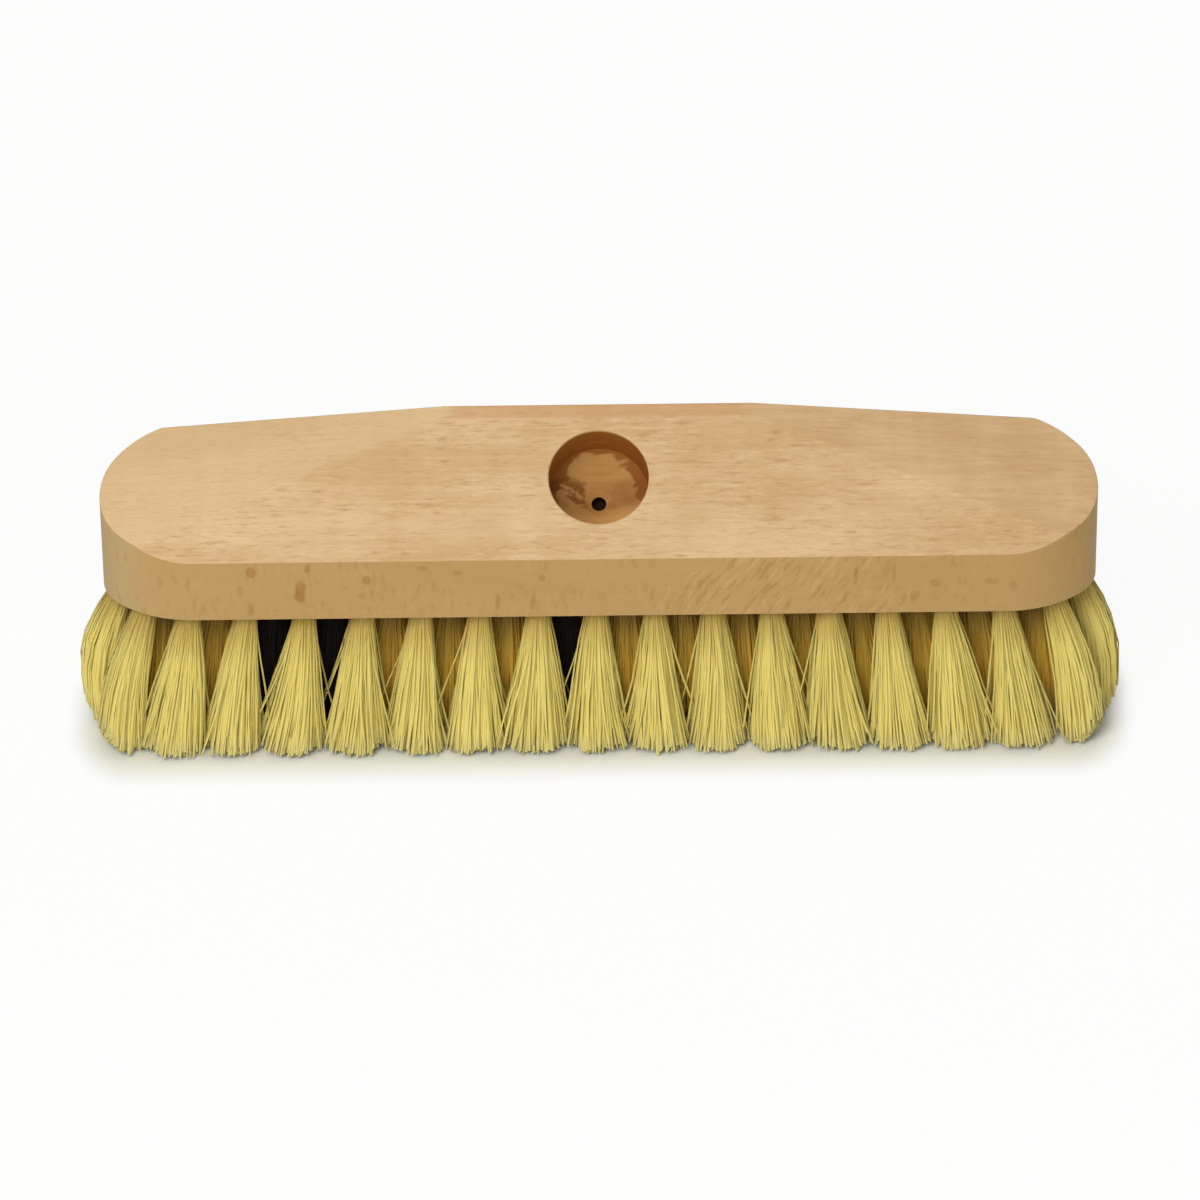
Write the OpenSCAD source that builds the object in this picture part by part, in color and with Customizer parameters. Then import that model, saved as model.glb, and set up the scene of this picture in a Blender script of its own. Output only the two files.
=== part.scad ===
// Scrub brush: a wedge-topped wooden block with a drilled handle socket, and tufts
// of stiff fibre, each folded over a flat wire anchor in its own blind hole.
// X runs along the block, the socket's face looks towards -Y, and Z is up.
// The origin is on the floor under the middle of the block: the brush stands on its tips.

/* [Block] */
// Length of the block
block_l = 240; // [210:1:256]
// Width of the block
block_w = 35; // [33:0.5:42]
// Height of the front edge above the underside
front_h = 16.5; // [15.5:0.5:20]
// Slope of the face that holds the handle socket, in degrees
face_slope = 34.4; // [33:0.1:37]
// Radius of the round tip of each end, seen from above
tip_r = 14; // [10:0.5:16]
// Radius of the arc that joins a tip to a long side
flank_r = 26; // [25:1:36]
// Width of the narrow crest behind the sloping face
crest_w = 3.2; // [2:0.1:4]
// Half the length of the crest, where the end facets begin
crest_half_l = 37; // [30:1:50]
// Slope of the crest and the end facets towards the front, in degrees
crest_slope = 25; // [20:0.5:28]
// Fall of the end facets towards the tips, in degrees
end_fall = 4.4; // [3:0.1:5]
// Width and height of the bevel along the top of the back
back_bevel = 1.3; // [0.8:0.1:2]

/* [Handle socket] */
// Diameter of the handle socket
socket_d = 24; // [20:0.5:25]
// Depth of the socket's straight wall
socket_depth = 11; // [9:0.5:12]
// Point angle of the drill that bored the socket and the tuft holes
drill_point = 118; // [110:1:130]
// Width and height of the eased edge round the socket's mouth
mouth_ease = 0.4; // [0.2:0.1:0.8]
// Diameter of the pilot hole at the socket's bottom
pilot_d = 3.6; // [2:0.1:4]
// Depth of the pilot hole below the socket's point
pilot_depth = 1.6; // [0.5:0.1:1.8]

/* [Tufts] */
// Free length of the bristles below the block
bristle_l = 39.5; // [30:0.5:45]
// Diameter of a tuft hole
hole_d = 6; // [5.4:0.1:6.4]
// Depth of a tuft hole down to its conical point
hole_depth = 8.5; // [7:0.1:8.8]
// Gap between a folded tuft and its hole, all round
tuft_fit = 0.05; // [0.02:0.01:0.1]
// Distance between neighbouring tufts in a row
tuft_pitch = 14; // [13.5:0.1:18]
// Distance from the block's edge to the outer tufts
edge_margin = 5.5; // [5:0.1:6.5]
// Length at each end that the outer rows leave to the end tufts
row_end_gap = 20; // [18:0.5:28]
// Length at each end that the middle row leaves to the end tufts
middle_end_gap = 26; // [25:0.5:34]
// Distance from the block's tip to the single tuft inside the end ring
inner_margin = 15; // [14:0.5:16]
// Angle round the flank arc at which a corner tuft stands, in degrees
corner_angle = 56; // [52:1:60]
// How far the three rows sit off the middle of the block, along it
row_shift = -1; // [-1:0.1:1]
// Outward lean of the outer rows across the block, in degrees
side_lean = 4; // [0:0.1:4]
// Lean along the block that the rows' fan would reach at the block's tips, in degrees
row_fan = 9.6; // [7:0.1:10]
// Lean of the corner tufts along the block, in degrees
corner_lean = 12; // [10:0.5:12]
// Lean of the corner tufts across the block, in degrees
corner_side_lean = 8; // [6:0.1:8]
// Lean of the tuft at each tip, in degrees
tip_lean = 10; // [7:0.5:10]
// Lean of the single tuft inside the end ring, in degrees
inner_lean = 5.2; // [4:0.1:5.5]
// How far a folded root stands proud of the underside
root_proud = 0.5; // [0.3:0.1:1]
// Places of the dark tufts, counted from the left of the middle row
dark_places = [2, 3, 7];

/* [Strands] */
// Strands round the middle strand of a tuft
ring_strands = 7; // [5:1:7]
// Half the thickness of a strand at its root, across its corners
strand_root_r = 0.8; // [0.6:0.05:0.8]
// Half the thickness of a strand at its tip, across its corners
strand_tip_r = 0.6; // [0.4:0.05:0.8]
// Distance of the outer strands from the tuft's middle at the tips, along the row
spread_along = 5.9; // [4:0.1:5.9]
// Distance of the outer strands from the tuft's middle at the tips, across the row
spread_across = 5.2; // [4:0.1:5.2]
// Spread of the corner and tip tufts, as a share of the rows' spread
ring_spread = 0.88; // [0.7:0.01:0.88]
// Spread of the single tuft inside the end ring, as a share of the rows' spread
inner_spread = 0.8; // [0.7:0.01:0.82]
// How late the strands flare: 1 is straight, less spreads them early, more keeps them together
flare = 0.7; // [0.6:0.1:1.6]
// Height of the strands' bend, as a share of the bristles' free length
bend_at = 0.55; // [0.4:0.05:0.7]
// Gap between the outer strands and the edge of the folded root
strand_inset = 0.15; // [0.1:0.05:0.3]
// How far the strands of one tuft are turned from the next, in degrees for each mm
strand_turn = 11; // [7:1:13]

/* [Wire anchors] */
// Height of the anchor wire along the hole
anchor_h = 1.8; // [1:0.1:2.2]
// Thickness of the anchor wire
anchor_t = 0.45; // [0.3:0.05:0.6]
// How far each end of an anchor bites into the wood
anchor_bite = 0.4; // [0.2:0.1:0.6]
// Distance from the bottom of the hole's wall to the anchor
anchor_lift = 1.2; // [0.8:0.1:2]
// Gap round an anchor in its slot
anchor_fit = 0.05; // [0.02:0.01:0.1]

/* [Hidden] */
$fn = 64;
half_l = block_l / 2;
half_w = block_w / 2;
over = 1;                       // how far a cut runs past the face it opens
reach = block_l;                // size of the solids that cut the block's planes

// Plan of the block: a tip arc meets two flank arcs without a corner
tip_cx = half_l - tip_r;
flank_turn = asin((flank_r - half_w) / (flank_r - tip_r));
flank_cx = tip_cx - (flank_r - tip_r) * cos(flank_turn);
flank_cy = half_w - flank_r;
meet_x = tip_cx + tip_r * cos(flank_turn);

// Cross-section of the block, heights counted from the underside
crest_back_y = half_w - back_bevel;
crest_front_y = crest_back_y - crest_w;
crest_front_h = face_h(crest_front_y);
crest_back_h = crest_front_h + tan(crest_slope) * crest_w;
function face_h(y) = front_h + tan(face_slope) * (y + half_w);

// Drilled holes
function point_h(d) = d / 2 / tan(drill_point / 2);

// Wire anchors
anchor_l = hole_d + 2 * anchor_bite;
anchor_depth = hole_depth - anchor_lift - anchor_h / 2;

// Where the tufts stand: [name, x, y, slant along X, slant along Y, turn of the anchor, spread].
// A slant is the sideways step for each mm downwards.
row_y = half_w - edge_margin;
row_n = floor((half_l - row_end_gap) / tuft_pitch);
middle_n = floor((half_l - middle_end_gap) / tuft_pitch + 0.5);
flank_ring_r = flank_r - edge_margin;
corner_x = flank_cx + flank_ring_r * cos(corner_angle);
corner_y = flank_cy + flank_ring_r * sin(corner_angle);
row_anchor_turn = 90;

FRONT_TUFTS = [for (i = [-row_n:row_n]) row_tuft("front", i + row_n + 1, i * tuft_pitch, -1)];
BACK_TUFTS = [for (i = [-row_n:row_n]) row_tuft("back", i + row_n + 1, i * tuft_pitch, 1)];
MIDDLE_TUFTS = [
    for (i = [1:2 * middle_n]) row_tuft("middle", i, (i - middle_n - 0.5) * tuft_pitch, 0)
];
LEFT_TUFTS = end_tufts("left", -1);
RIGHT_TUFTS = end_tufts("right", 1);
TUFTS = concat(FRONT_TUFTS, MIDDLE_TUFTS, BACK_TUFTS, LEFT_TUFTS, RIGHT_TUFTS);
DARK_NAMES = [for (i = dark_places) tuft_name("middle", i)];

function tuft_name(row, i) = str("tuft_", row, "_", i < 10 ? "0" : "", i);
function row_tuft(row, i, x, side) = [
    tuft_name(row, i), x + row_shift, side * row_y,
    tan(row_fan) * (x + row_shift) / half_l, side * tan(side_lean), row_anchor_turn, 1
];
function end_tufts(row, side) = [
    corner_tuft(tuft_name(row, 1), side, -1),
    end_tuft(tuft_name(row, 2), side, half_l - edge_margin, tip_lean, ring_spread),
    corner_tuft(tuft_name(row, 3), side, 1),
    end_tuft(tuft_name(row, 4), side, half_l - inner_margin, inner_lean, inner_spread)
];
function corner_tuft(name, side, across) = [
    name, side * corner_x, across * corner_y,
    side * tan(corner_lean), across * tan(corner_side_lean),
    side * across * corner_angle, ring_spread
];
function end_tuft(name, side, x, lean, spread) = [name, side * x, 0, side * tan(lean), 0, 0, spread];

// Colours
wood = "#d8b184";
pale_fibre = "#cdbd6c";
dark_fibre = "#1c1713";
wire = "#b9bcbf";

// Outline of the block from above
module block_plan() {
    square([2 * flank_cx, block_w], center = true);
    for (side = [0, 1]) mirror([side, 0, 0]) {
        intersection() {
            translate([flank_cx, flank_cy]) circle(r = flank_r);
            translate([flank_cx, -flank_cy]) circle(r = flank_r);
            translate([flank_cx - over, -half_w]) square([meet_x - flank_cx + over, block_w]);
        }
        translate([tip_cx, 0]) circle(r = tip_r);
    }
}

// Cross-section of the block: sloping face, crest and bevelled back
module block_section() {
    polygon([
        [-half_w, 0],
        [half_w, 0],
        [half_w, crest_back_h - back_bevel],
        [crest_back_y, crest_back_h],
        [crest_front_y, crest_front_h],
        [-half_w, front_h]
    ]);
}

// Everything above a plane through the origin
module above_plane() {
    translate([-reach, -reach, 0]) cube([2 * reach, 2 * reach, reach]);
}

// Everything above the facet that falls towards the right-hand tip
module above_end_facet() {
    translate([crest_half_l, crest_front_y, crest_front_h])
        rotate([atan(tan(crest_slope) * cos(end_fall)), end_fall, 0]) above_plane();
}

// Everything behind the bevel that follows that facet's back edge
module above_end_bevel() {
    translate([crest_half_l, crest_back_y, crest_back_h])
        rotate([-atan(cos(end_fall)), end_fall, 0]) above_plane();
}

// Blind hole with a drilled point: its mouth is at the origin and it goes up
module drilled(d, depth) {
    translate([0, 0, -over]) cylinder(d = d, h = depth + over);
    translate([0, 0, depth]) cylinder(d1 = d, d2 = 0, h = point_h(d));
}

// Handle socket, square to the sloping face, with its eased mouth and its pilot hole
module socket() {
    translate([0, 0, face_h(0)]) rotate([face_slope + 180, 0, 0]) {
        drilled(socket_d, socket_depth);
        translate([0, 0, -over])
            cylinder(d1 = socket_d + 2 * (mouth_ease + over), d2 = socket_d, h = mouth_ease + over);
        cylinder(d = pilot_d, h = socket_depth + point_h(socket_d) + pilot_depth);
    }
}

// Moves what is made with its mouth at the origin to a tuft's place on the underside
module at_tuft(t) {
    lean = atan(norm([t[3], t[4]]));
    lean_turn = atan2(t[4], t[3]);
    translate([t[1], t[2], 0])
        rotate([0, -lean, lean_turn]) rotate([0, 0, t[5] - lean_turn]) children();
}

// Flat wire across a hole, with the gap asked for all round
module anchor_bar(gap) {
    translate([0, 0, anchor_depth])
        cube([anchor_t + 2 * gap, anchor_l + 2 * gap, anchor_h + 2 * gap], center = true);
}

module block() {
    color(wood) translate([0, 0, bristle_l]) difference() {
        intersection() {
            linear_extrude(height = crest_back_h + over) block_plan();
            rotate([90, 0, 90]) translate([0, 0, -reach])
                linear_extrude(height = 2 * reach) block_section();
        }
        for (side = [0, 1]) mirror([side, 0, 0]) {
            above_end_facet();
            above_end_bevel();
        }
        socket();
        for (t = TUFTS) at_tuft(t) {
            drilled(hole_d, hole_depth);
            anchor_bar(anchor_fit);
        }
    }
}

module anchors(tufts) {
    color(wire) translate([0, 0, bristle_l]) for (t = tufts) at_tuft(t) anchor_bar(0);
}

// Packed fold of a tuft, slotted for its anchor
module folded_root() {
    root_d = hole_d - 2 * tuft_fit;
    difference() {
        union() {
            translate([0, 0, -root_proud]) cylinder(d = root_d, h = hole_depth + root_proud);
            translate([0, 0, hole_depth]) cylinder(d1 = root_d, d2 = 0, h = point_h(root_d));
        }
        anchor_bar(anchor_fit);
    }
}

// Strands: three level rings each, from inside the folded root to the trimmed tip
strand_sides = 4;
ring_heights = [bristle_l + root_proud, bristle_l * bend_at, 0];
root_ring_r = hole_d / 2 - tuft_fit - strand_root_r - strand_inset;
function along(z) = max(0, 1 - z / bristle_l);
function spread_to(tip_spread, z) =
    root_ring_r + (tip_spread - root_ring_r) * pow(along(z), flare);
function strand_mid(t, turn, out, z) = [
    t[1] + t[3] * (bristle_l - z) + spread_to(t[6] * spread_along, z) * cos(turn) * out,
    t[2] + t[4] * (bristle_l - z) + spread_to(t[6] * spread_across, z) * sin(turn) * out
];
function strand_r(z) = strand_root_r + (strand_tip_r - strand_root_r) * along(z);
function strand_points(t, turn, out) = [
    for (z = ring_heights, k = [0:strand_sides - 1]) let (
        mid = strand_mid(t, turn, out, z),
        a = turn + k * 360 / strand_sides
    ) [mid[0] + strand_r(z) * cos(a), mid[1] + strand_r(z) * sin(a), z]
];
function wall_faces(ring) = [
    for (k = [0:strand_sides - 1], half = [0, 1]) let (
        a = ring * strand_sides + k,
        b = ring * strand_sides + (k + 1) % strand_sides
    ) half == 0 ? [a, b, b + strand_sides] : [a, b + strand_sides, a + strand_sides]
];
last = 2 * strand_sides;
strand_faces = concat(
    [[0, 2, 1], [0, 3, 2]],
    wall_faces(0),
    wall_faces(1),
    [[last, last + 1, last + 2], [last, last + 2, last + 3]]
);

module strand(t, turn, out) {
    polyhedron(points = strand_points(t, turn, out), faces = strand_faces);
}

module tuft(t) {
    dark = len([for (name = DARK_NAMES) if (name == t[0]) name]) > 0;
    first_turn = (t[1] + t[2]) * strand_turn;
    color(dark ? dark_fibre : pale_fibre) union() {
        translate([0, 0, bristle_l]) at_tuft(t) folded_root();
        strand(t, first_turn, 0);
        for (k = [1:ring_strands]) strand(t, first_turn + k * 360 / ring_strands, 1);
    }
}

block();
anchors(FRONT_TUFTS);  // anchors_front
anchors(MIDDLE_TUFTS);  // anchors_middle
anchors(BACK_TUFTS);  // anchors_back
anchors(LEFT_TUFTS);  // anchors_left
anchors(RIGHT_TUFTS);  // anchors_right
for (t = TUFTS) tuft(t);
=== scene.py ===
"""Scrub brush: the visible pieces, finishes, light and camera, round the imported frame."""
from math import asin, atan, atan2, cos, hypot, pi, radians, sin, tan

import bmesh
import bpy
import numpy as np
from mathutils import Matrix, Vector


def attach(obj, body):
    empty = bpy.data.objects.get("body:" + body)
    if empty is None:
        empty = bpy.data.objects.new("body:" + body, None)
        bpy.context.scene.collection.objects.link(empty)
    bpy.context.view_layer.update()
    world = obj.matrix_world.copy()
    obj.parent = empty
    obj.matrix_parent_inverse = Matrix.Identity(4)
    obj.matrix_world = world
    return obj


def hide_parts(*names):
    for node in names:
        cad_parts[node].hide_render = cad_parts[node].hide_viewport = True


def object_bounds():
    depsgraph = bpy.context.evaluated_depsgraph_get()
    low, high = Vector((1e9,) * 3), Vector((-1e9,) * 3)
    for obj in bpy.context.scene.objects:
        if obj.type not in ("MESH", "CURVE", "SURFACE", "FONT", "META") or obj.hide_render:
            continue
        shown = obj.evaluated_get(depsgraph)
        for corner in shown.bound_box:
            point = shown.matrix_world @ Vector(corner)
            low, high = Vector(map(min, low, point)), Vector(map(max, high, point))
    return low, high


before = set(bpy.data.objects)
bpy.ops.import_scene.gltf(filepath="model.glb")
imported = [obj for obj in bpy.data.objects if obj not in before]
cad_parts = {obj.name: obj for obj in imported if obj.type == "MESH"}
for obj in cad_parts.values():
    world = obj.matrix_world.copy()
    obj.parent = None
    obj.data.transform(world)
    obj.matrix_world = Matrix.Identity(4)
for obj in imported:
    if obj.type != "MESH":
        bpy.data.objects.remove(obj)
cad_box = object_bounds()

# Sizes in mm, as in the part's source
MM = 0.001
BLOCK_L, BLOCK_W = 240.0, 35.0
HALF_L, HALF_W = BLOCK_L / 2, BLOCK_W / 2
FRONT_H, FACE_SLOPE = 16.5, 34.4
TIP_R, FLANK_R = 14.0, 26.0
CREST_W, CREST_HALF_L, CREST_SLOPE = 3.2, 37.0, 25.0
END_FALL, BACK_BEVEL = 4.4, 1.3
SOCKET_R, SOCKET_DEPTH = 12.0, 11.0
DRILL_POINT = 118.0
PILOT_R, PILOT_DEPTH = 1.8, 1.6
BRISTLE_L = 39.5
HOLE_R, HOLE_DEPTH = 3.0, 8.5
TUFT_PITCH, EDGE_MARGIN = 14.0, 5.5
ROW_SHIFT, ROW_FAN, SIDE_LEAN = -1.0, 9.6, 4.0
CORNER_ANGLE, CORNER_LEAN, CORNER_SIDE_LEAN = 56.0, 12.0, 8.0
TIP_LEAN, INNER_LEAN, INNER_MARGIN = 10.0, 5.2, 15.0
SPREAD_ALONG, SPREAD_ACROSS, FLARE = 7.8, 6.3, 1.25
RING_SPREAD, INNER_SPREAD = 0.88, 0.8
# The eased mouth of the socket: radius and depth, from outside the wood to the full bore
SOCKET_MOUTH = ((0, -3), (14.4, -3), (14.4, -0.5), (12.75, -0.07), (12.4, 0.02), (12.17, 0.12),
                (12.04, 0.27), (12, 0.45))
RIDGE_EASE = 0.45
DARK_TUFTS = ("tuft_middle_02", "tuft_middle_03", "tuft_middle_07")

# The block's plan and section
TIP_CX = HALF_L - TIP_R
FLANK_TURN = asin((FLANK_R - HALF_W) / (FLANK_R - TIP_R))
FLANK_CX = TIP_CX - (FLANK_R - TIP_R) * cos(FLANK_TURN)
FLANK_CY = FLANK_R - HALF_W
CREST_BACK_Y = HALF_W - BACK_BEVEL
CREST_FRONT_Y = CREST_BACK_Y - CREST_W


def tand(angle):
    return tan(radians(angle))


def face_z(y):
    """Height of the sloping face above the floor."""
    return BRISTLE_L + FRONT_H + tand(FACE_SLOPE) * (y + HALF_W)


CREST_FRONT_Z = face_z(CREST_FRONT_Y)
CREST_BACK_Z = CREST_FRONT_Z + tand(CREST_SLOPE) * CREST_W
# How far the edge between the face and an end facet runs outwards for each mm forwards
FACET_RUN = (tand(FACE_SLOPE) - tand(CREST_SLOPE)) / tand(END_FALL)


class Socket:
    """An output of a node: an expression on it adds its Math nodes."""

    def __init__(self, nodes, node, output=0):
        self.nodes = nodes
        self.node = node
        self.socket = node.outputs[output]

    def out(self, output):
        return Socket(self.nodes, self.node, output)

    def math(self, operation, *values):
        return self.nodes.add("Math", {"operation": operation}, dict(enumerate(values)))

    def __add__(self, other):
        return self.math("ADD", self, other)

    def __sub__(self, other):
        return self.math("SUBTRACT", self, other)

    def __rsub__(self, other):
        return self.math("SUBTRACT", other, self)

    def __mul__(self, other):
        return self.math("MULTIPLY", self, other)

    def __truediv__(self, other):
        return self.math("DIVIDE", self, other)

    def __abs__(self):
        return self.math("ABSOLUTE", self)

    def at_least(self, other):
        return self.math("MAXIMUM", self, other)

    def square_root(self):
        return self.math("SQRT", self)

    __radd__ = __add__
    __rmul__ = __mul__


class Nodes:
    """A tree of nodes, whose new ones all come from add()."""

    def __init__(self, tree):
        self.tree = tree

    def put(self, node, inputs):
        for key, value in inputs.items():
            if isinstance(value, Socket):
                self.tree.links.new(value.socket, node.inputs[key])
            else:
                node.inputs[key].default_value = value

    def add(self, kind, settings=None, inputs=None, output=0):
        node = self.tree.nodes.new("ShaderNode" + kind)
        for key, value in (settings or {}).items():
            setattr(node, key, value)
        self.put(node, inputs or {})
        return Socket(self, node, output)


class Finish(Nodes):
    """A material, with the patterns that the brush's finishes are made of."""

    def __init__(self, name, roughness, specular):
        self.material = bpy.data.materials.new(name)
        self.material.use_nodes = True
        super().__init__(self.material.node_tree)
        self.shader = self.tree.nodes["Principled BSDF"]
        self.put(self.shader, {"Roughness": roughness, "Specular IOR Level": specular})

    def place(self):
        """Object coordinates in mm."""
        return self.add("VectorMath", {"operation": "SCALE"}, {
            0: self.add("TexCoord").out("Object"), "Scale": 1 / MM})

    def axes(self, vector):
        parts = self.add("SeparateXYZ", None, {0: vector})
        return parts, parts.out(1), parts.out(2)

    def point(self, x, y, z):
        return self.add("CombineXYZ", None, {0: x, 1: y, 2: z})

    def grained(self, size, place, start=(0, 0, 0)):
        """A place in mm, counted in lengths of size along each axis."""
        return self.add("Mapping", None, {
            "Vector": place, "Scale": tuple(1 / s for s in size), "Location": start})

    def noise(self, vector, detail=2.0, roughness=0.5, distortion=0.0):
        return self.add("TexNoise", None, {
            "Vector": vector, "Scale": 1.0, "Detail": detail, "Roughness": roughness,
            "Distortion": distortion})

    def step(self, value, low, high, to_low=0.0, to_high=1.0):
        """to_low up to low, to_high from high, and smooth between them."""
        return self.add("MapRange", {"interpolation_type": "SMOOTHSTEP"}, {
            "Value": value, "From Min": low, "From Max": high,
            "To Min": to_low, "To Max": to_high})

    def mix(self, factor, a, b):
        return self.add("Mix", {"data_type": "RGBA"}, {0: factor, 6: a, 7: b}, output=2)

    def bump(self, height, distance):
        return self.add("Bump", None, {"Height": height, "Distance": distance})


def rgb(r, g, b):
    """A linear colour from the 0 to 255 values that it shows as."""
    def linear(v):
        v /= 255
        return v / 12.92 if v <= 0.04045 else ((v + 0.055) / 1.055) ** 2.4
    return (linear(r), linear(g), linear(b), 1.0)


def beech_tone(finish, place):
    """The slow changes of the wood's tone, from 0 to 1: clouds, upright bands and long grain."""
    cloud = finish.noise(finish.grained((60, 18, 18), place), 3.0, 0.55)
    band = finish.noise(finish.grained((9, 70, 70), place, (3, 1, 2)), 2.0)
    grain = finish.noise(finish.grained((34, 1.3, 1.3), place), 2.0, 0.55, 0.3)
    return cloud * 0.6 + band * 0.18 + grain * 0.22


def ray_ends(finish, place):
    """The rays cut across: short thin dashes along the grain, dark ones and light ones."""
    field = finish.noise(finish.grained((15, 7, 7), place, (4, 2, 1)), 2.0)
    thick = finish.step(field, 0.3, 0.6, 0.35, 1.0)
    dash = finish.noise(finish.grained((4.4, 0.85, 0.85), place, (5, 3, 1)), 2.0, 0.45)
    short = finish.noise(finish.grained((2.3, 0.5, 0.5), place, (2, 8, 6)), 1.0)
    dark = finish.step(dash, 0.55, 0.70) + finish.step(short, 0.60, 0.74) * 0.7
    light = finish.step(dash, 0.45, 0.31) * 0.8 + finish.step(short, 0.40, 0.28) * 0.5
    return dark * thick, light * thick


# Single flecks of the front side: x, z, half width, half height, strength
FLECKS = (
    (-83.6, 53.1, 1.3, 1.6, 0.9), (-69.8, 54.2, 0.8, 1.2, 0.7), (-71.8, 47.5, 1.4, 3.2, 1.2),
    (-86.2, 47.8, 0.9, 1.9, 0.5), (-56.0, 50.5, 1.2, 1.4, 0.9), (-83.9, 42.5, 0.9, 2.0, 0.7),
    (-57.2, 46.0, 1.2, 1.0, 0.4), (-42.6, 53.8, 1.4, 0.8, 0.7), (-33.8, 52.6, 1.4, 0.8, 0.6),
    (-13.9, 50.6, 1.0, 1.0, 0.7), (-24.5, 44.3, 0.7, 2.3, 0.7), (-16.0, 43.5, 0.7, 1.9, 0.7),
    (61.4, 50.5, 0.6, 3.0, 0.6), (70.5, 51.0, 0.6, 2.6, 0.6), (80.4, 48.0, 1.6, 1.2, 0.6),
    (75.5, 44.5, 1.2, 1.3, 0.6), (94.0, 48.5, 1.8, 1.0, 0.6), (99.0, 47.0, 1.0, 1.6, 0.5),
)


def single_flecks(finish, x, z, ragged):
    total = 0.0
    for fleck_x, fleck_z, wide, high, strength in FLECKS:
        across = (x - fleck_x + ragged * 1.6) / wide
        along = (z - fleck_z + ragged) / high
        total = finish.step(across * across + along * along, 0.4, 1.4, strength, 0.0) + total
    return total


def ray_sides(finish, place):
    """The rays seen from their side: upright flecks, slanted and crowded right of the middle."""
    x, y, z = finish.axes(place)
    slant = finish.step(x, 6, 26) * finish.step(x, 84, 60)
    low = z - BRISTLE_L - FRONT_H / 2
    ragged = finish.noise(finish.grained((3.4, 3.4, 3.4), place), 2.0) - 0.5
    leant = finish.point(x - slant * low * 0.62 + ragged * 2.2, y, z + ragged * 1.4)
    stroke = finish.noise(finish.grained((1.25, 2.4, 4.6), leant, (3, 1, 7)), 1.0)
    crowd = finish.noise(finish.grained((15, 15, 8), place, (1, 5, 3)), 1.0)
    crowd = finish.step(crowd + slant * 0.14, 0.44, 0.6)
    dark = finish.step(stroke, 0.56, 0.68) * (0.1 + crowd * (0.5 + slant * 0.5))
    spot = single_flecks(finish, x, z, ragged) * finish.step(y, -4, -8)
    light = finish.step(stroke, 0.42, 0.3) * crowd * (0.35 + slant * 0.65)
    return dark * 0.6 + spot, light


def beech():
    finish = Finish("beech", roughness=0.58, specular=0.3)
    place = finish.place()
    x, y, _ = finish.axes(place)
    _, _, up = finish.axes(finish.add("NewGeometry").out("Normal"))
    upright = finish.step(abs(up), 0.6, 0.25)
    beyond = abs(x) - CREST_HALF_L - (CREST_FRONT_Y - y) * FACET_RUN
    facet = finish.step(beyond, -3, 3)
    crest = finish.step(y, CREST_FRONT_Y - 0.3, CREST_FRONT_Y + 0.2) * finish.step(
        abs(x), CREST_HALF_L + 2, CREST_HALF_L - 5)

    tone = beech_tone(finish, place)
    wood = finish.mix(finish.step(tone, 0.36, 0.64), rgb(207, 168, 118), rgb(226, 192, 146))
    # Painted highlight: the end facet on the left is painted lighter, where the light falls on it
    wood = finish.mix(facet * finish.step(x, 30, -30) * 0.5, wood, rgb(230, 199, 152))
    wood = finish.mix(crest * 0.7, wood, rgb(214, 164, 116))
    # Painted shade: the upright sides are painted darker and more orange than the top, as they take
    # less light
    wood = finish.mix(upright * 0.85, wood, rgb(178, 141, 84))
    # Painted light: the left end is painted greyer, for the cool light that falls on it from the
    # left
    wood = finish.mix(upright * finish.step(x, -106, -116) * 0.6, wood, rgb(186, 162, 118))
    dark, light = ray_ends(finish, place)
    show = (1 - upright) * (1 - facet * 0.6) * (1 - crest * 0.5)
    wood = finish.mix(dark * show * 0.34, wood, rgb(170, 122, 74))
    wood = finish.mix(light * show * 0.3, wood, rgb(244, 212, 168))
    flecks, pale = ray_sides(finish, place)
    flecks = flecks * upright
    wood = finish.mix(flecks * 0.52, wood, rgb(150, 98, 28))
    wood = finish.mix(pale * upright * 0.3, wood, rgb(214, 178, 122))
    pores = finish.noise(finish.grained((2.4, 0.2, 0.2), place), 1.0)
    wood = finish.mix(finish.step(pores, 0.5, 0.72) * 0.16, wood, rgb(186, 143, 96))
    finish.put(finish.shader, {
        "Base Color": wood,
        "Roughness": 0.5 + pores * 0.16,
        "Normal": finish.bump(pores * 0.8 - dark * 0.4 - flecks * 0.4, 0.00006),
    })
    return finish.material


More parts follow.
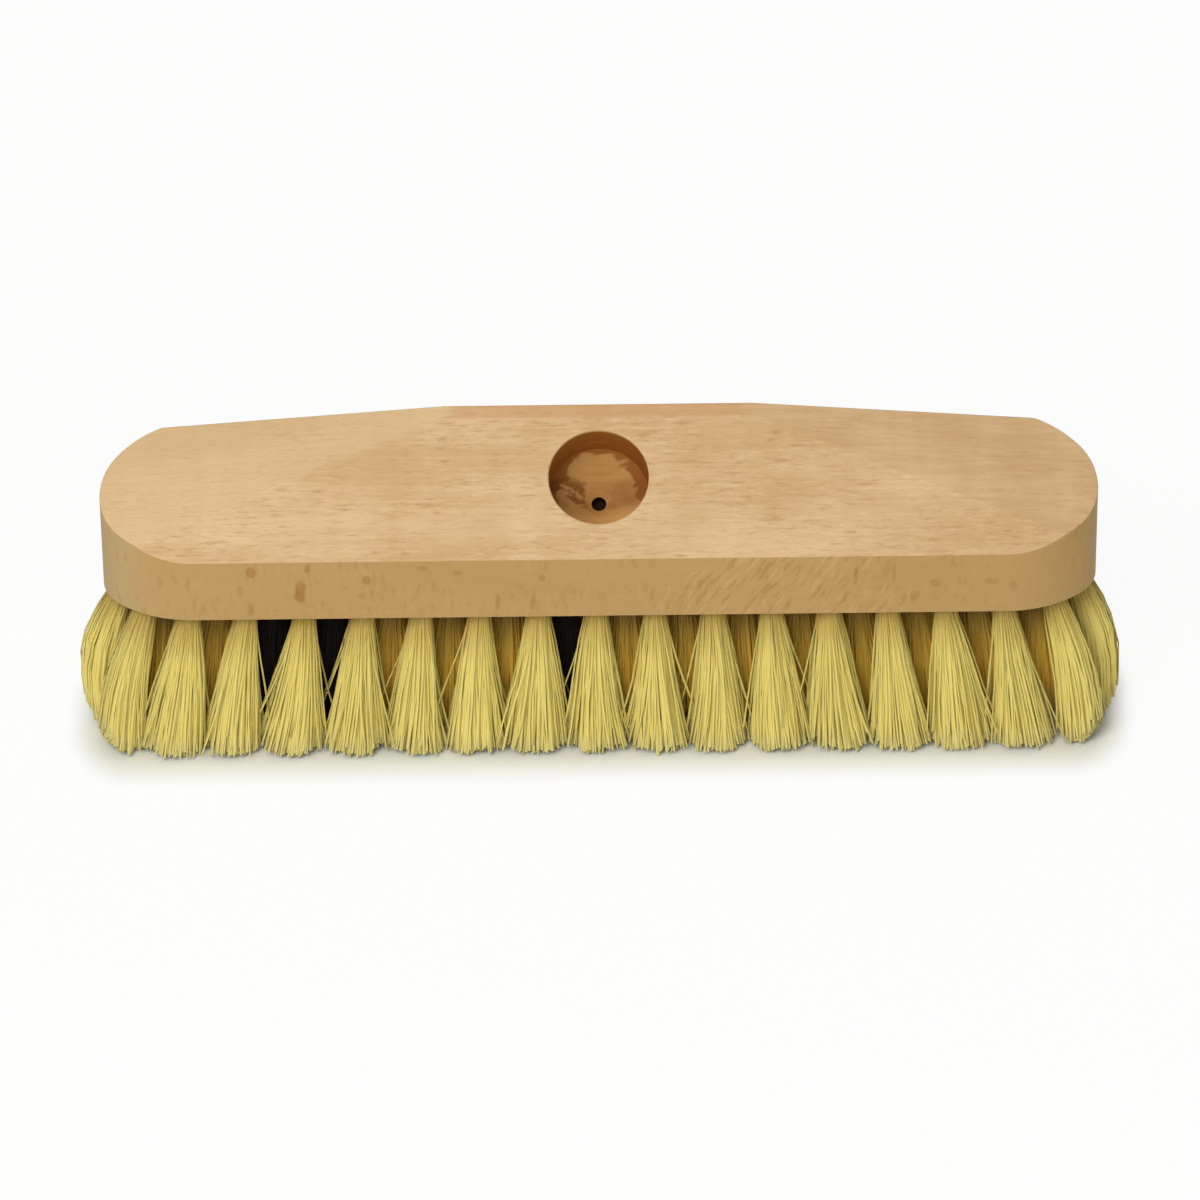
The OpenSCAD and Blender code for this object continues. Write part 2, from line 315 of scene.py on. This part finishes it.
def drilled_beech():
    """The socket: a wall, partly burnished and partly painted shade, and a conical bottom, with torn
    grain at both its sides, painted shade round its upper rim and painted light on its lower part.
    """
    finish = Finish("drilled_beech", roughness=0.75, specular=0.2)
    place = finish.place()
    x, y, z = finish.axes(place)
    slope = radians(FACE_SLOPE)
    up_face = y * cos(slope) + (z - face_z(0)) * sin(slope)
    depth = y * sin(slope) - (z - face_z(0)) * cos(slope)
    off_axis = (x * x + up_face * up_face).square_root()
    tone = beech_tone(finish, place)
    torn = finish.noise(finish.grained((6.5, 3.2, 3.2), place), 2.0, 0.5, 0.3)
    wood = finish.mix(finish.step(tone, 0.36, 0.62), rgb(168, 122, 64), rgb(192, 146, 84))
    # Painted shade: a ragged dark ring round the upper rim of the socket, where its far wall is in
    # shade
    ragged_edge = off_axis + (torn - 0.5) * 8 + abs(x) * 0.22
    rim = finish.step(ragged_edge, 11.2, 12.2) * finish.step(up_face, -5, 0)
    wood = finish.mix(rim * 0.9, wood, rgb(142, 84, 26))
    sides = finish.step(abs(up_face - 1.6), 4.4, 1.8) * finish.step(abs(x), 0.8, 4.5)
    tear = finish.step(torn + sides * 0.14, 0.54, 0.64) * (0.15 + sides * 0.65)
    tear = tear * finish.step(x, -2, 3, 1.0, 0.4)
    wood = finish.mix(tear, wood, rgb(126, 72, 26))
    # Painted light: the lower part of the socket's bottom is painted lighter, where the light
    # reaches into it
    wood = finish.mix(finish.step(up_face, -1, -6) * 0.75, wood, rgb(228, 178, 106))
    # The wall is painted darker, partly burnished wood and partly painted shade, and a little
    # lighter on the left, where the light comes from
    wall = finish.step(depth, SOCKET_DEPTH + 0.2, SOCKET_DEPTH - 0.6)
    wall_burnish_and_shade = finish.mix(finish.step(x, 2, -9), rgb(162, 98, 34), rgb(170, 106, 38))
    wood = finish.mix(wall * 0.85, wood, wall_burnish_and_shade)
    finish.put(finish.shader, {
        "Base Color": wood,
        "Normal": finish.bump(torn - tear * 0.6, 0.0004),
    })
    return finish.material


def pilot_shade():
    """The pilot hole, painted near black as painted shade for the dark that it goes on into."""
    finish = Finish("pilot_shade", roughness=0.9, specular=0.1)
    shade_speckle = finish.noise(finish.grained((0.8, 0.8, 0.8), finish.place()), 2.0)
    finish.put(finish.shader, {
        "Base Color": finish.mix(shade_speckle, rgb(30, 16, 8), rgb(52, 28, 14)),
        "Normal": finish.bump(shade_speckle, 0.0001),
    })
    return finish.material


def fibre_finish(name, root, middle, tip, streak, shaded_root, shaded, inner_tip_shade_colour, roughness, sheen):
    """Fibre, coloured by the tone, length, clump and row that each tuft's mesh holds, with painted
    shade at its roots, tips and inner tips and on the middle row.
    """
    finish = Finish(name, roughness=roughness, specular=0.4)
    held = finish.add("Attribute", {"attribute_name": "fibre"}, output="Color")
    tone, along, clump = finish.axes(held)
    second_row = held.out("Alpha")
    # Painted shade: the root colour is darker, for the block's shadow on the tufts' roots
    colour = finish.mix(finish.step(along, 0.0, 0.42), root, middle)
    # The tip colour is paler, as ragged tips are, and a little darker as painted shade at the bottom
    # of the tufts
    colour = finish.mix(finish.step(along, 0.86, 1.0), colour, tip)
    streaked = finish.step(tone * 0.55 + clump * 0.45, 0.5, 0.95) * finish.step(along, 0.1, 0.6)
    colour = finish.mix(streaked * 0.6, colour, streak)
    # Painted shade: the tips of the inner fibres are painted darker and olive, where they lie in
    # shade
    inner_tip_shade = finish.step(tone, 0.5, 0.9) * finish.step(along, 0.8, 1.0)
    colour = finish.mix(inner_tip_shade * 0.7, colour, inner_tip_shade_colour)
    # Painted shade: the middle row is painted deep gold, red-brown at its roots, as it lies in the
    # shade of the outer rows and the block
    shade = finish.mix(finish.step(along, 0.0, 0.65), shaded_root, shaded)
    colour = finish.mix(second_row * 0.85, colour, shade)
    speck = finish.noise(finish.grained((0.5, 0.5, 3.0), finish.place()), 2.0)
    finish.put(finish.shader, {
        "Sheen Weight": sheen,
        "Sheen Roughness": 0.5,
        "Sheen Tint": (1.0, 0.88, 0.42, 1.0),
        "Base Color": colour,
        "Roughness": roughness - 0.08 + speck * 0.16,
        "Normal": finish.bump(speck, 0.00004),
    })
    return finish.material


def drawn_wire():
    finish = Finish("drawn_wire", roughness=0.3, specular=0.5)
    lines = finish.noise(finish.grained((0.1, 0.1, 3.0), finish.place()), 2.0)
    finish.put(finish.shader, {
        "Base Color": finish.mix(lines, rgb(170, 172, 174), rgb(205, 206, 208)),
        "Metallic": 1.0,
        "Roughness": 0.22 + lines * 0.2,
    })
    return finish.material


def shown(name, mesh):
    piece = bpy.data.objects.new(name, mesh)
    bpy.context.scene.collection.objects.link(piece)
    return piece


def as_piece(name, bm):
    """An object at the origin, with the place of a bmesh in mm in its mesh."""
    bmesh.ops.scale(bm, vec=(MM, MM, MM), verts=bm.verts)
    mesh = bpy.data.meshes.new(name)
    bm.to_mesh(mesh)
    bm.free()
    return shown(name, mesh)


def turned_solid(profile, steps):
    """A closed mesh from (radius, depth) points, turned about Z."""
    bm = bmesh.new()
    verts = [bm.verts.new((r, 0, depth)) for r, depth in profile]
    edges = [bm.edges.new(pair) for pair in zip(verts, verts[1:])]
    bmesh.ops.spin(bm, geom=verts + edges, cent=(0, 0, 0), axis=(0, 0, 1), dvec=(0, 0, 0),
                   angle=2 * pi, steps=steps, use_merge=True, use_duplicate=False)
    bmesh.ops.remove_doubles(bm, verts=bm.verts, dist=1e-4)
    bmesh.ops.recalc_face_normals(bm, faces=bm.faces)
    mesh = bpy.data.meshes.new("turned")
    bm.to_mesh(mesh)
    bm.free()
    return mesh


def arc(bm, vert, centre, angle, steps):
    """Carries an outline on from vert, round centre, and gives its new end."""
    made = bmesh.ops.spin(bm, geom=[vert], cent=(*centre, 0), axis=(0, 0, 1), dvec=(0, 0, 0),
                          angle=angle, steps=steps, use_merge=False, use_duplicate=False)
    return next(v for v in made["geom_last"] if isinstance(v, bmesh.types.BMVert))


def cut(bm, point, normal):
    """Takes away what lies past a plane, and closes the cut."""
    made = bmesh.ops.bisect_plane(
        bm, geom=bm.verts[:] + bm.edges[:] + bm.faces[:], dist=1e-4,
        plane_co=point, plane_no=normal, clear_outer=True, clear_inner=False)
    rim = [e for e in made["geom_cut"] if isinstance(e, bmesh.types.BMEdge)]
    bmesh.ops.contextual_create(bm, geom=rim)


def block_body():
    """The block without its holes, with its edges eased."""
    bm = bmesh.new()
    vert = first = bm.verts.new((FLANK_CX, -HALF_W, BRISTLE_L))
    for side in (1, -1):
        flank = pi / 2 - FLANK_TURN
        vert = arc(bm, vert, (side * FLANK_CX, side * FLANK_CY), flank, 12)
        vert = arc(bm, vert, (side * TIP_CX, 0), 2 * FLANK_TURN, 26)
        vert = arc(bm, vert, (side * FLANK_CX, -side * FLANK_CY), flank, 12)
        if side == 1:
            made = bmesh.ops.extrude_vert_indiv(bm, verts=[vert])
            vert = made["verts"][0]
            bmesh.ops.translate(bm, vec=(-2 * FLANK_CX, 0, 0), verts=[vert])
    bm.edges.new((vert, first))
    for v in bm.verts:
        v.co.z = BRISTLE_L
    face = bmesh.ops.contextual_create(bm, geom=bm.edges[:])["faces"][0]
    made = bmesh.ops.extrude_face_region(bm, geom=[face])
    top = [v for v in made["geom"] if isinstance(v, bmesh.types.BMVert)]
    bmesh.ops.translate(bm, vec=(0, 0, CREST_BACK_Z - BRISTLE_L + 1), verts=top)

    crest = (0, CREST_FRONT_Y, CREST_FRONT_Z)
    cut(bm, (0, 0, face_z(0)), (0, -sin(radians(FACE_SLOPE)), cos(radians(FACE_SLOPE))))
    cut(bm, crest, (0, -sin(radians(CREST_SLOPE)), cos(radians(CREST_SLOPE))))
    cut(bm, (0, CREST_BACK_Y, CREST_BACK_Z), (0, 1, 1))
    fall = radians(END_FALL)
    tilt = atan(tand(CREST_SLOPE) * cos(fall))
    for side in (1, -1):
        cut(bm, (side * CREST_HALF_L, CREST_FRONT_Y, CREST_FRONT_Z),
            (side * cos(tilt) * sin(fall), -sin(tilt), cos(tilt) * cos(fall)))
        cut(bm, (side * CREST_HALF_L, CREST_BACK_Y, CREST_BACK_Z), (side * tan(fall), 1, 1))
    bmesh.ops.recalc_face_normals(bm, faces=bm.faces)
    ridges = [e for e in bm.edges if e.calc_face_angle(0) > radians(4.2)]
    bmesh.ops.bevel(bm, geom=ridges, offset=RIDGE_EASE, offset_type="OFFSET", segments=3,
                    profile=0.5, affect="EDGES", clamp_overlap=True, material=-1)
    return bm


def tuft_table():
    """Each tuft as [name, x, y, slant along X, slant along Y, turn, spread], as in the source."""
    row_y = HALF_W - EDGE_MARGIN
    tufts = []
    for row, side, places in (("front", -1, range(-7, 8)), ("back", 1, range(-7, 8)),
                              ("middle", 0, range(1, 15))):
        for count, i in enumerate(places, 1):
            x = (i if side else i - 7.5) * TUFT_PITCH + ROW_SHIFT
            tufts.append(["tuft_%s_%02d" % (row, count), x, side * row_y,
                          tand(ROW_FAN) * x / HALF_L, side * tand(SIDE_LEAN), pi / 2, 1.0])
    ring_r = FLANK_R - EDGE_MARGIN
    corner = radians(CORNER_ANGLE)
    corner_x = FLANK_CX + ring_r * cos(corner)
    corner_y = ring_r * sin(corner) - FLANK_CY
    for row, side in (("left", -1), ("right", 1)):
        for number, across in ((1, -1), (3, 1)):
            tufts.append(["tuft_%s_%02d" % (row, number), side * corner_x, across * corner_y,
                          side * tand(CORNER_LEAN), across * tand(CORNER_SIDE_LEAN),
                          side * across * corner, RING_SPREAD])
        tufts.append(["tuft_%s_02" % row, side * (HALF_L - EDGE_MARGIN), 0,
                      side * tand(TIP_LEAN), 0, 0, RING_SPREAD])
        tufts.append(["tuft_%s_04" % row, side * (HALF_L - INNER_MARGIN), 0,
                      side * tand(INNER_LEAN), 0, 0, INNER_SPREAD])
    return tufts


def at_tuft(x, y, slant_x, slant_y, turn):
    lean = atan(hypot(slant_x, slant_y))
    lean_turn = atan2(slant_y, slant_x)
    return (Matrix.Translation((x, y, BRISTLE_L)) @ Matrix.Rotation(lean_turn, 4, "Z")
            @ Matrix.Rotation(-lean, 4, "Y") @ Matrix.Rotation(turn - lean_turn, 4, "Z"))


def drill_bits(tufts):
    """The solids that the socket and the tuft holes leave empty."""
    point = SOCKET_R / tand(DRILL_POINT / 2)
    pilot_top = SOCKET_DEPTH + point - PILOT_R / tand(DRILL_POINT / 2)
    pilot_end = SOCKET_DEPTH + point + PILOT_DEPTH
    socket = turned_solid([
        *SOCKET_MOUTH, (SOCKET_R, SOCKET_DEPTH), (PILOT_R, pilot_top),
        (PILOT_R, pilot_end), (0, pilot_end + 0.3)], 128)
    hole_point = HOLE_R / tand(DRILL_POINT / 2)
    hole = turned_solid([
        (0, -2), (HOLE_R, -2), (HOLE_R, HOLE_DEPTH), (0, HOLE_DEPTH + hole_point)], 32)
    bm = bmesh.new()
    bm.from_mesh(socket)
    bmesh.ops.transform(
        bm, verts=bm.verts,
        matrix=Matrix.Translation((0, 0, face_z(0))) @ Matrix.Rotation(
            radians(FACE_SLOPE + 180), 4, "X"))
    for tuft in tufts:
        start = len(bm.verts)
        bm.from_mesh(hole)
        bm.verts.ensure_lookup_table()
        bmesh.ops.transform(bm, verts=bm.verts[start:], matrix=at_tuft(*tuft[1:6]))
    return as_piece("drill_bits", bm)


def block(tufts, finishes):
    piece = as_piece("beech_block", block_body())
    for finish in finishes:
        piece.data.materials.append(finish)
    bits = drill_bits(tufts)
    drilling = piece.modifiers.new("drilling", "BOOLEAN")
    drilling.operation = "DIFFERENCE"
    drilling.solver = "EXACT"
    drilling.object = bits
    done = bpy.data.meshes.new_from_object(
        piece.evaluated_get(bpy.context.evaluated_depsgraph_get()))
    piece.modifiers.clear()
    piece.data = done
    bpy.data.objects.remove(bits)
    axis = Vector((0, -sin(radians(FACE_SLOPE)), cos(radians(FACE_SLOPE))))
    mouth = Vector((0, 0, face_z(0) * MM))
    for face in done.polygons:
        corners = [(done.vertices[i].co - mouth) / MM for i in face.vertices]
        depth = min(-corner.dot(axis) for corner in corners)
        off_axis = max((corner - corner.dot(axis) * axis).length for corner in corners)
        in_socket = off_axis < SOCKET_R + 0.02 and 0.2 < depth < 20
        in_pilot = off_axis < PILOT_R + 0.02 and SOCKET_DEPTH < depth < 20
        face.material_index = 2 if in_pilot else 1 if in_socket else 0
        face.use_smooth = True
    done.set_sharp_from_angle(angle=radians(38))
    weighted = piece.modifiers.new("weighted", "WEIGHTED_NORMAL")
    weighted.keep_sharp = True
    return piece


# Fibres in a tuft, the clumps that they gather in, and the sides of each
FIBRES = 620
CLUMPS = 11
SIDES = 3
# Where each ring of a fibre is along its free length: the first is inside the hole
LEVELS = np.array((-3.0 / BRISTLE_L, 0.0, 0.1, 0.25, 0.45, 0.65, 0.83, 1.0))
ALONG = np.clip(LEVELS, 0, 1)
GOLDEN_TURN = 2.39996
THINNEST, THICKEST = 0.16, 0.25
SWELL, END_SWELL = 0.35, 0.6
PULL = (0.05, 0.3)
STRAY_SHARE, STRAY_REACH = 0.028, (1.15, 1.9)
DARK_REACH = 0.8
# How much higher the outermost fibres of a tuft may end, and the most that any fibre may
EDGE_TRIM, MOST_TRIM = 1.3, 8
# The end tufts, within this far of the tips, bulge outwards early and are trimmed round
END_ZONE, END_REACH, END_TRIM = 13.0, 0.84, 5.5
TIP_BOW, TIP_FLARE = 2.8, 0.5
CORNER_BOW, CORNER_FLARE = 1.2, 0.75
# How far the middle of each fibre stays inside the box of the frame
BOX_MARGIN = 0.45


def fibre_bundle():
    """A tuft's worth of straight unit fibres, which each tuft's mesh is a copy of."""
    bm = bmesh.new()
    bmesh.ops.create_circle(bm, cap_ends=True, segments=SIDES, radius=1)
    face = bm.faces[:][0]
    for _ in LEVELS[1:]:
        made = bmesh.ops.extrude_face_region(bm, geom=[face])
        face = next(f for f in made["geom"] if isinstance(f, bmesh.types.BMFace))
        bmesh.ops.translate(bm, vec=(0, 0, -1), verts=face.verts)
    bmesh.ops.recalc_face_normals(bm, faces=bm.faces)
    one = bpy.data.meshes.new("fibre")
    bm.to_mesh(one)
    for _ in range(FIBRES - 1):
        bm.from_mesh(one)
    for face in bm.faces:
        face.smooth = True
    bundle = bpy.data.meshes.new("bundle")
    bm.to_mesh(bundle)
    bm.free()
    co = np.empty(len(bundle.vertices) * 3)
    bundle.vertices.foreach_get("co", co)
    return bundle, co.reshape(FIBRES, -1, 3)


def is_at_end(x):
    return abs(x) > HALF_L - END_ZONE


def tuft_paths(tuft, chance):
    """Each fibre's turn round the tuft, share of its radius and clump, its path, and its heights."""
    name, x, y, slant_x, slant_y, _, spread = tuft
    at_end = is_at_end(x)
    at_tip = at_end and abs(y) < 1
    is_dark = name in DARK_TUFTS
    count = np.arange(FIBRES)
    turn = count * GOLDEN_TURN + chance.uniform(0, 2 * pi)
    facing = np.stack([np.cos(turn), np.sin(turn)], 1)
    packed = ((count + 0.5) / FIBRES) ** (0.4 if at_end else 0.48)
    root = packed[:, None] * (HOLE_R - 0.6) * facing

    spread *= END_REACH if at_end else DARK_REACH if is_dark else 1.0
    reach = np.array([SPREAD_ALONG, SPREAD_ACROSS]) * spread - 0.3
    tip = packed[:, None] * reach * facing
    middles = chance.uniform(-0.8, 0.8, (CLUMPS, 2)) * reach
    clump = np.argmin(((tip[:, None] - middles[None]) ** 2).sum(2), 1)
    pull = chance.uniform(*PULL, CLUMPS)[clump][:, None]
    tip = tip + (middles[clump] - tip) * pull + chance.normal(0, 0.8, (FIBRES, 2))
    stray = chance.uniform(0, 1, FIBRES) < (0.0 if is_dark or at_end else STRAY_SHARE)
    tip[stray] = tip[stray] * chance.uniform(*STRAY_REACH, (stray.sum(), 1))
    bow = chance.normal(0, 0.35, (FIBRES, 2)) + chance.normal(0, 0.35, (CLUMPS, 2))[clump]
    wave = chance.normal(0, 0.22, (FIBRES, 2))
    tip_z = np.abs(chance.normal(0, 1.0, FIBRES)) + chance.uniform(0, 1.0, CLUMPS)[clump]
    tip_z += EDGE_TRIM * packed ** 2 * chance.uniform(0.2, 1.0, FIBRES)
    if at_end:
        outward = np.array([slant_x, slant_y]) / hypot(slant_x, slant_y)
        bow = bow + (TIP_BOW if at_tip else CORNER_BOW) * outward
        tip_z += END_TRIM * np.clip(tip @ outward / reach[0], 0, 1) ** 2
    tip_z[stray] += chance.uniform(0, 5, stray.sum())
    tip_z = np.minimum(tip_z, MOST_TRIM)

    down = BRISTLE_L - tip_z
    z = BRISTLE_L - LEVELS[None] * down[:, None]
    flare = ALONG ** (TIP_FLARE if at_tip else CORNER_FLARE if at_end else FLARE)
    path = (root[:, None] + (tip - root)[:, None] * flare[None, :, None]
            + bow[:, None] * np.sin(ALONG * pi)[None, :, None]
            + wave[:, None] * np.sin(ALONG * 2 * pi)[None, :, None])
    path[:, :, 0] += x + slant_x * (BRISTLE_L - z)
    path[:, :, 1] += y + slant_y * (BRISTLE_L - z)
    low, high = (np.array(corner[:2]) / MM for corner in cad_box)
    return turn, packed, clump, np.clip(path, low + BOX_MARGIN, high - BOX_MARGIN), z


def tuft_piece(bundle, unit, tuft, seed):
    """A tuft of loose fibres: packed at its root, in clumps, flared and ragged at its tips."""
    name, x, y = tuft[:3]
    at_end = is_at_end(x)
    chance = np.random.default_rng(seed)
    turn, packed, clump, path, z = tuft_paths(tuft, chance)
    swell = 1 + (END_SWELL if at_end else SWELL) * ALONG
    thick = chance.uniform(THINNEST, THICKEST, FIBRES)[:, None] * swell[None]

    level = np.rint(-unit[0, :, 2]).astype(int)
    # A flat side of each fibre looks outwards
    flat = atan2(unit[0, 0, 1], unit[0, 0, 0]) + pi
    twist = (turn - flat + chance.normal(0, 0.25, FIBRES))[:, None]
    ring_x = unit[:, :, 0] * np.cos(twist) - unit[:, :, 1] * np.sin(twist)
    ring_y = unit[:, :, 0] * np.sin(twist) + unit[:, :, 1] * np.cos(twist)
    co = np.empty_like(unit)
    co[:, :, 0] = path[:, level, 0] + ring_x * thick[:, level]
    co[:, :, 1] = path[:, level, 1] + ring_y * thick[:, level]
    co[:, :, 2] = np.maximum(z[:, level], 0.02)

    mesh = bundle.copy()
    mesh.name = name + "_fibres"
    mesh.vertices.foreach_set("co", (co * MM).ravel())
    held = mesh.attributes.new("fibre", "FLOAT_COLOR", "POINT")
    colour = np.ones((FIBRES, len(level), 4))
    # Tone: random, and higher for the inner fibres, which so take more streak and more painted shade
    # at their tips
    colour[:, :, 0] = (chance.uniform(0, 0.6, FIBRES) + 0.45 * (1 - packed))[:, None]
    colour[:, :, 1] = ALONG[level][None]
    colour[:, :, 2] = chance.uniform(0, 1, CLUMPS)[clump][:, None]
    # Alpha marks the middle row, for its painted shade
    colour[:, :, 3] = 1.0 if abs(y) < 1 and not at_end else 0.0
    held.data.foreach_set("color", colour.ravel())
    mesh.update()
    # Fibres let light through, so a tuft is shaded partly as one round bundle
    away = co[:, :, :2] - path.mean(0)[level][None]
    away = away / (HOLE_R + 3.0 * ALONG[level])[None, :, None]
    normal = np.empty_like(co)
    normal[:, :, :2] = np.stack([ring_x, ring_y], 2) * 0.65 + away * 0.38
    normal[:, :, 2] = 0.4
    normal /= np.linalg.norm(normal, axis=2, keepdims=True)
    mesh.normals_split_custom_set_from_vertices(normal.reshape(-1, 3))
    return shown(name + "_fibres", mesh)


# Pieces
tufts = tuft_table()
# The darker roots and tips, the inner tips and the middle row's colours are painted shade
pale = fibre_finish(
    "pale_fibre", root=rgb(180, 152, 70), middle=rgb(230, 212, 116), tip=rgb(214, 200, 124),
    streak=rgb(200, 182, 86), shaded_root=rgb(82, 36, 10), shaded=rgb(236, 188, 52),
    inner_tip_shade_colour=rgb(138, 122, 54), roughness=0.55, sheen=0.3)
dark = fibre_finish(
    "dark_fibre", root=rgb(9, 7, 7), middle=rgb(12, 10, 10), tip=rgb(22, 17, 14),
    streak=rgb(6, 5, 5), shaded_root=rgb(30, 14, 10), shaded=rgb(12, 10, 10),
    inner_tip_shade_colour=rgb(6, 5, 5), roughness=0.8, sheen=0.0)
wire = drawn_wire()

wood_piece = block(tufts, (beech(), drilled_beech(), pilot_shade()))
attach(wood_piece, "root")
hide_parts("block")

bundle, unit = fibre_bundle()
for seed, tuft in enumerate(tufts, 100):
    is_dark = tuft[0] in DARK_TUFTS
    piece = tuft_piece(bundle, unit, tuft, seed)
    piece.data.materials.append(dark if is_dark else pale)
    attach(piece, "root")
    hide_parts(tuft[0])

for name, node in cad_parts.items():
    if name.startswith("anchors_"):
        node.data.materials.clear()
        node.data.materials.append(wire)


# Floor, light and camera
def white_floor():
    """Shows white to the camera, less so close round the tips, where the shadow is."""
    finish = Finish("white_floor", roughness=0.9, specular=0.0)
    # Painted light: the floor's yellow-green tint stands in for light bounced off the fibres into
    # the shadow round the tips
    finish.put(finish.shader, {"Base Color": (0.93, 0.95, 0.84, 1.0)})
    x, y, _ = finish.axes(finish.place())
    past_end = (abs(x) - 114).at_least(0) * 1.5
    past_side = (abs(y) - 6).at_least(0)
    away = (past_end * past_end + past_side * past_side).square_root()
    rays = finish.add("LightPath")
    seen = rays.at_least(rays.out("Is Glossy Ray")) * finish.step(away, 12, 26, 0.0, 0.92)
    white = finish.add("Emission", None, {"Color": (1, 1, 1, 1), "Strength": 1.0})
    mixed = finish.add("MixShader", None, {0: seen, 1: Socket(finish, finish.shader), 2: white})
    finish.put(finish.tree.nodes["Material Output"], {0: mixed})
    return finish.material


def studio():
    """A soft fill from all round, which the camera sees as white."""
    world = bpy.data.worlds.new("studio")
    world.use_nodes = True
    nodes = Nodes(world.node_tree)
    fill = nodes.tree.nodes["Background"]
    nodes.put(fill, {"Color": (0.98, 0.99, 1.0, 1.0), "Strength": 0.33})
    white = nodes.add("Background", None, {"Color": (1, 1, 1, 1), "Strength": 1.0})
    rays = nodes.add("LightPath")
    straight = rays.at_least(rays.out("Is Transmission Ray"))
    either = nodes.add("MixShader", None, {0: straight, 1: Socket(nodes, fill), 2: white})
    nodes.put(nodes.tree.nodes["World Output"], {0: either})
    return world


LAMP_COLOUR = (1.0, 0.985, 0.96)


def lamp(name, place, size, power):
    light = bpy.data.lights.new(name, "AREA")
    light.shape = "DISK"
    light.size = size
    light.energy = power
    light.color = LAMP_COLOUR
    holder = bpy.data.objects.new(name, light)
    holder.location = place
    holder.rotation_euler = (-Vector(place)).to_track_quat("-Z", "Y").to_euler()
    bpy.context.scene.collection.objects.link(holder)


bm = bmesh.new()
bmesh.ops.create_grid(bm, x_segments=1, y_segments=1, size=4000)
floor = as_piece("floor", bm)
floor.data.materials.append(white_floor())

bpy.context.scene.world = studio()
lamp("key", (-0.4, -0.9, 1.0), 0.8, 10.8)
lamp("front", (0.15, -1.4, 0.5), 1.0, 3.0)
lamp("back", (0.5, 1.3, 0.9), 0.9, 3.0)

# The camera, from a fit of the block's edges and the socket's rim
ELEVATION, ROLL, DISTANCE = radians(34.0), radians(0.65), 1.904
AIM = Vector((0, -0.0033, 0.0346))
SENSOR, FOCAL_PX, FRAME_PX = 36.0, 7866, 1200
camera = bpy.data.cameras.new("camera")
camera.sensor_width = SENSOR
camera.lens = SENSOR * FOCAL_PX / FRAME_PX
camera.clip_end = 20.0
holder = bpy.data.objects.new("camera", camera)
look = Vector((0, cos(ELEVATION), -sin(ELEVATION)))
up = Vector((0, sin(ELEVATION), cos(ELEVATION)))
right = Vector((1, 0, 0))
up_rolled = up * cos(ROLL) + right * sin(ROLL)
right_rolled = right * cos(ROLL) - up * sin(ROLL)
turn = Matrix((right_rolled, up_rolled, -look)).transposed()
holder.matrix_world = Matrix.Translation(AIM - look * DISTANCE) @ turn.to_4x4()
bpy.context.scene.collection.objects.link(holder)
bpy.context.scene.camera = holder
bpy.context.scene.view_settings.view_transform = "Standard"
